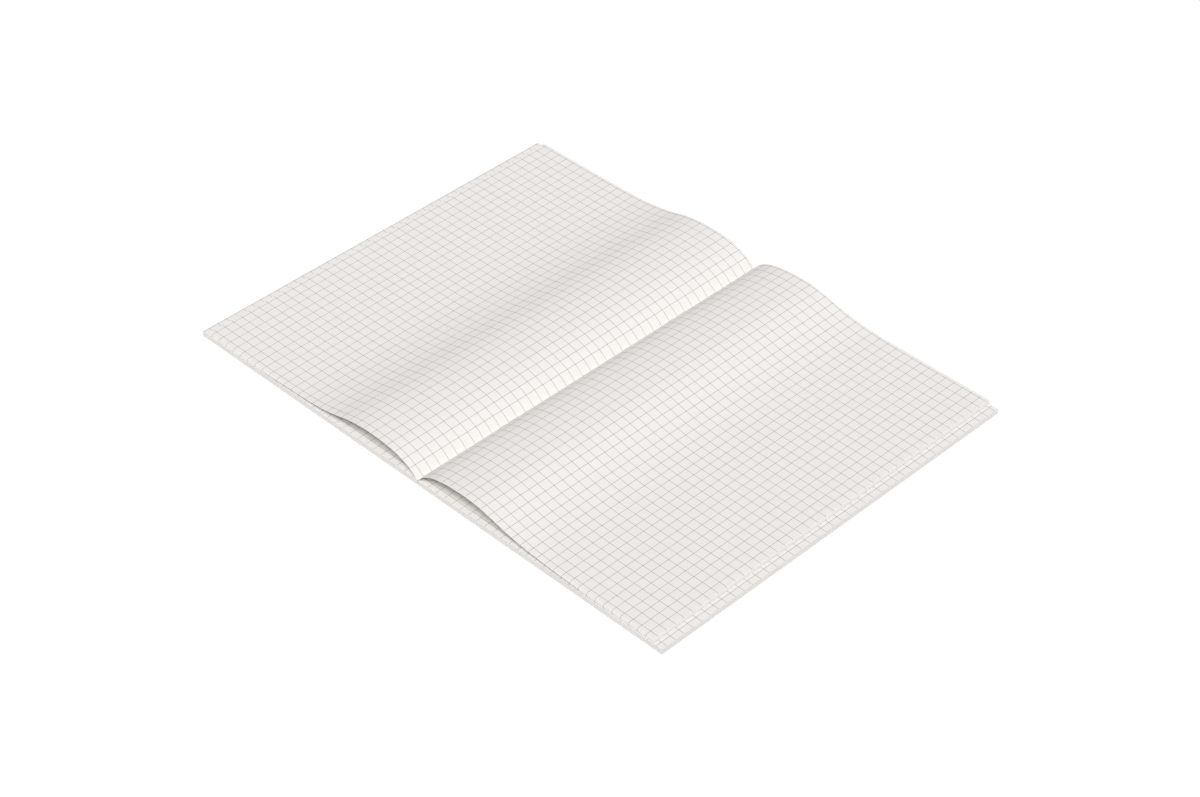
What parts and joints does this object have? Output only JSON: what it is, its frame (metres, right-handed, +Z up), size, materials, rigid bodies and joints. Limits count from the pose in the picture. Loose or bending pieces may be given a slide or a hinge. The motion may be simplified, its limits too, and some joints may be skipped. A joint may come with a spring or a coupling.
{
  "type": "stapled exercise book",
  "caption": "Thin stapled exercise book of squared paper, open flat at its centre sheet, whose leaves arch up from the fold; it closes and its pages turn.",
  "frame": {"origin": "on the table under the middle of the spine, with the book lying open", "axes": "+X across the open spread towards the back half, +Y along the spine towards the head, +Z up off the table"},
  "size_m": [0.29, 0.21, 0.0121],
  "materials": {
    "paper": "uncoated off-white paper printed with a pale grey grid",
    "card": "plain off-white cover card, matt",
    "wire": "round galvanised staple wire"
  },
  "bodies": {
    "back_half": {"back_leaf_01": "paper", "back_leaf_02": "paper", "back_leaf_03": "paper", "back_leaf_04": "paper", "back_leaf_05": "paper", "back_leaf_06": "paper", "back_leaf_07": "paper", "back_leaf_08": "paper", "back_leaf_09": "paper", "back_leaf_10": "paper", "back_leaf_11": "paper", "back_leaf_12": "paper", "back_leaf_13": "paper", "back_leaf_14": "paper", "back_leaf_15": "paper", "back_leaf_16": "paper", "back_leaf_17": "paper", "back_leaf_18": "paper", "back_cover": "card", "head_staple": "wire", "tail_staple": "wire"},
    "front_half": {"front_leaf_02": "paper", "front_leaf_03": "paper", "front_leaf_04": "paper", "front_leaf_05": "paper", "front_leaf_06": "paper", "front_leaf_07": "paper", "front_leaf_08": "paper", "front_leaf_09": "paper", "front_leaf_10": "paper", "front_leaf_11": "paper", "front_leaf_12": "paper", "front_leaf_13": "paper", "front_leaf_14": "paper", "front_leaf_15": "paper", "front_leaf_16": "paper", "front_leaf_17": "paper", "front_leaf_18": "paper"},
    "first_leaf": {"front_leaf_01": "paper"},
    "front_cover": {"front_cover": "card"},
    "front_top_leaf": {"front_leaf_19": "paper"},
    "front_centre_rise": {"front_centre_rise": "paper"},
    "front_centre_crest": {"front_centre_crest": "paper"},
    "front_centre_fall": {"front_centre_fall": "paper"},
    "front_centre_page": {"front_centre_page": "paper"},
    "back_top_leaf": {"back_leaf_19": "paper"},
    "back_centre_rise": {"back_centre_rise": "paper"},
    "back_centre_crest": {"back_centre_crest": "paper"},
    "back_centre_fall": {"back_centre_fall": "paper"},
    "back_centre_page": {"back_centre_page": "paper"}
  },
  "joints": [
    {"name": "book_close", "type": "hinge", "parent": "back_half", "child": "front_half", "pos_m": [0, 0, 0.00387], "axis": [0, 1, 0], "range_deg": [0, 172]},
    {"name": "first_leaf_fold", "type": "hinge", "parent": "front_half", "child": "first_leaf", "pos_m": [0, 0, -0.00001], "axis": [0, 1, 0], "range_deg": [-180, 0]},
    {"name": "front_cover_fold", "type": "hinge", "parent": "first_leaf", "child": "front_cover", "pos_m": [0, 0, -0.00001], "axis": [0, -1, 0], "range_deg": [0, 180]},
    {"name": "front_leaf_lift", "type": "hinge", "parent": "front_half", "child": "front_top_leaf", "pos_m": [-0.00035, 0, 0.00262], "axis": [0, -1, 0], "range_deg": [-40, 0]},
    {"name": "front_rise_press", "type": "hinge", "parent": "front_top_leaf", "child": "front_centre_rise", "pos_m": [-0.0005, 0, 0.00298], "axis": [0, 1, 0], "range_deg": [-30.31, 0]},
    {"name": "front_crest_press", "type": "hinge", "parent": "front_centre_rise", "child": "front_centre_crest", "pos_m": [-0.01229, 0, 0.01014], "axis": [0, 1, 0], "range_deg": [0, 26.21]},
    {"name": "front_fall_press", "type": "hinge", "parent": "front_centre_crest", "child": "front_centre_fall", "pos_m": [-0.02813, 0, 0.01207], "axis": [0, 1, 0], "range_deg": [0, 14.61]},
    {"name": "front_page_press", "type": "hinge", "parent": "front_centre_fall", "child": "front_centre_page", "pos_m": [-0.05753, 0, 0.00647], "axis": [0, 1, 0], "range_deg": [-7.11, 0]},
    {"name": "back_leaf_lift", "type": "hinge", "parent": "back_half", "child": "back_top_leaf", "pos_m": [0.00035, 0, 0.00262], "axis": [0, 1, 0], "range_deg": [-40, 0]},
    {"name": "back_rise_press", "type": "hinge", "parent": "back_top_leaf", "child": "back_centre_rise", "pos_m": [0.0005, 0, 0.00298], "axis": [0, -1, 0], "range_deg": [-30.31, 0]},
    {"name": "back_crest_press", "type": "hinge", "parent": "back_centre_rise", "child": "back_centre_crest", "pos_m": [0.01229, 0, 0.01014], "axis": [0, -1, 0], "range_deg": [0, 26.21]},
    {"name": "back_fall_press", "type": "hinge", "parent": "back_centre_crest", "child": "back_centre_fall", "pos_m": [0.02813, 0, 0.01207], "axis": [0, -1, 0], "range_deg": [0, 14.61]},
    {"name": "back_page_press", "type": "hinge", "parent": "back_centre_fall", "child": "back_centre_page", "pos_m": [0.05753, 0, 0.00647], "axis": [0, -1, 0], "range_deg": [-7.11, 0]}
  ],
  "couplings": [
    {"joint": "front_rise_press", "follows": "book_close", "ratio": -0.17616},
    {"joint": "front_crest_press", "follows": "book_close", "ratio": 0.15233},
    {"joint": "front_fall_press", "follows": "book_close", "ratio": 0.084884},
    {"joint": "front_page_press", "follows": "book_close", "ratio": -0.041279},
    {"joint": "back_rise_press", "follows": "book_close", "ratio": -0.17616},
    {"joint": "back_crest_press", "follows": "book_close", "ratio": 0.15233},
    {"joint": "back_fall_press", "follows": "book_close", "ratio": 0.084884},
    {"joint": "back_page_press", "follows": "book_close", "ratio": -0.041279}
  ]
}
